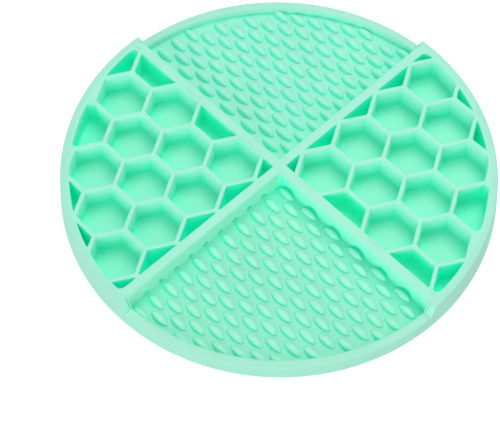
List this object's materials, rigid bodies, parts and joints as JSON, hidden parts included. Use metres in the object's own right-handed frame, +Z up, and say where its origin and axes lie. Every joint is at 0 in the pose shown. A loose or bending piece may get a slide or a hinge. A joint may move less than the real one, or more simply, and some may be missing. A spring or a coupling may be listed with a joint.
{
  "type": "slow feeder bowl",
  "caption": "Round shallow silicone feeding mat: a cross of walls divides it into honeycomb cell sectors and fields of grain-shaped nubs inside a stepped rim.",
  "frame": {"origin": "centre of the flat underside, on the surface the mat rests on", "axes": "+Z up; the front nub sector faces -Y, the honeycomb sectors lie towards -X and +X, the walls of the cross run along the diagonals"},
  "size_m": [0.2022, 0.2022, 0.0138],
  "materials": {
    "base_floor": "soft matte silicone",
    "outer_rim": "soft matte silicone",
    "cross_divider": "soft matte silicone",
    "honeycomb_left": "soft matte silicone",
    "honeycomb_right": "soft matte silicone",
    "lick_pad_front": "soft matte silicone",
    "lick_pad_back": "soft matte silicone"
  },
  "bodies": {
    "root": {"base_floor": "base_floor", "outer_rim": "outer_rim", "cross_divider": "cross_divider", "honeycomb_left": "honeycomb_left", "honeycomb_right": "honeycomb_right", "lick_pad_front": "lick_pad_front", "lick_pad_back": "lick_pad_back"}
  },
  "joints": []
}
